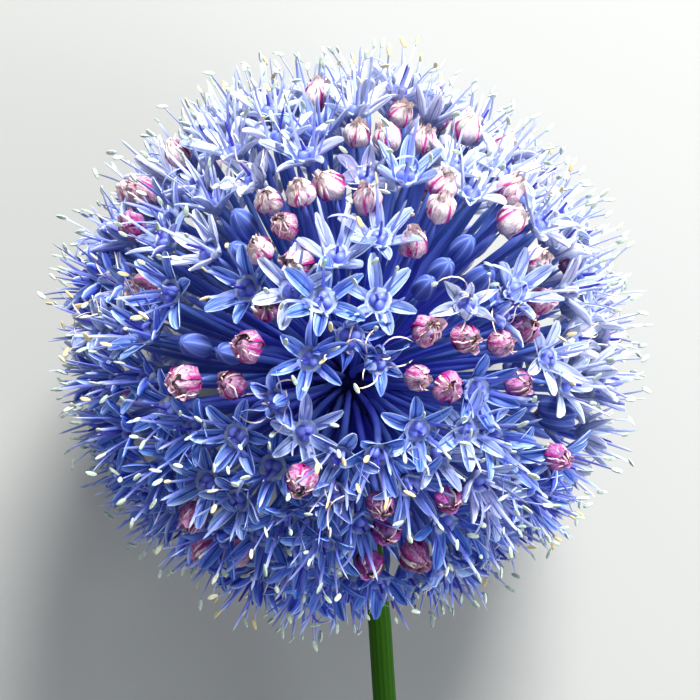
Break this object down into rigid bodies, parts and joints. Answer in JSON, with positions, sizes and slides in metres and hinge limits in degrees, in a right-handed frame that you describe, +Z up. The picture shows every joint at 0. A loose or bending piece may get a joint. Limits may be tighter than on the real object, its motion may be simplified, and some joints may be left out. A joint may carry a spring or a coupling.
{
  "type": "allium flower head",
  "caption": "Blue allium flower head: a ball of starry florets on slender pedicels, some withered and some in bud, cut with a short stem and laid on its side.",
  "frame": {"origin": "middle of the underside of the whole flower, on the surface that it rests on", "axes": "+Z up, +Y from the cut end of the stem towards the head, +X to the right seen from above with the head at the top"},
  "size_m": [0.0558, 0.102, 0.0544],
  "materials": {
    "tepal_blue": "soft satin petal, lavender blue with a darker mid stripe",
    "faded_papery": "matte papery, cream and magenta",
    "bud_blue": "soft satin",
    "pedicel_violet": "satin skin, deep blue-violet",
    "anther_cream": "matte, powdery",
    "stem_green": "satin plant skin with a faint bloom",
    "bract_papery": "dry and translucent"
  },
  "bodies": {
    "root": {"stem": "stem_green", "spathe_bract_1": "bract_papery", "spathe_bract_2": "bract_papery", "floret_cluster_01": "tepal_blue", "floret_cluster_02": "tepal_blue", "floret_cluster_03": "tepal_blue", "floret_cluster_04": "tepal_blue", "floret_cluster_05": "tepal_blue", "floret_cluster_06": "tepal_blue", "floret_cluster_07": "tepal_blue", "floret_cluster_08": "tepal_blue", "floret_cluster_09": "tepal_blue", "floret_cluster_10": "tepal_blue", "floret_cluster_11": "tepal_blue", "floret_cluster_12": "tepal_blue", "floret_cluster_13": "tepal_blue", "floret_cluster_14": "tepal_blue", "floret_cluster_15": "tepal_blue", "floret_cluster_16": "tepal_blue", "floret_cluster_17": "tepal_blue", "floret_cluster_18": "tepal_blue", "floret_cluster_19": "tepal_blue", "floret_cluster_20": "tepal_blue", "floret_cluster_21": "tepal_blue", "floret_cluster_22": "tepal_blue", "floret_cluster_23": "tepal_blue", "floret_cluster_24": "tepal_blue", "floret_cluster_25": "tepal_blue", "floret_cluster_26": "tepal_blue", "floret_cluster_27": "tepal_blue", "floret_cluster_28": "tepal_blue", "floret_cluster_29": "tepal_blue", "floret_cluster_30": "tepal_blue", "floret_cluster_31": "tepal_blue", "floret_cluster_32": "tepal_blue", "floret_cluster_33": "tepal_blue", "floret_cluster_34": "tepal_blue", "floret_cluster_35": "tepal_blue", "floret_cluster_36": "tepal_blue", "floret_cluster_37": "tepal_blue", "floret_cluster_38": "tepal_blue", "floret_cluster_39": "tepal_blue", "floret_cluster_40": "tepal_blue", "floret_cluster_41": "tepal_blue", "floret_cluster_42": "tepal_blue", "floret_cluster_43": "tepal_blue", "floret_cluster_44": "tepal_blue", "floret_cluster_45": "tepal_blue", "floret_cluster_46": "tepal_blue", "floret_cluster_47": "tepal_blue", "floret_cluster_48": "tepal_blue", "floret_cluster_49": "tepal_blue", "floret_cluster_50": "tepal_blue"}
  },
  "joints": []
}
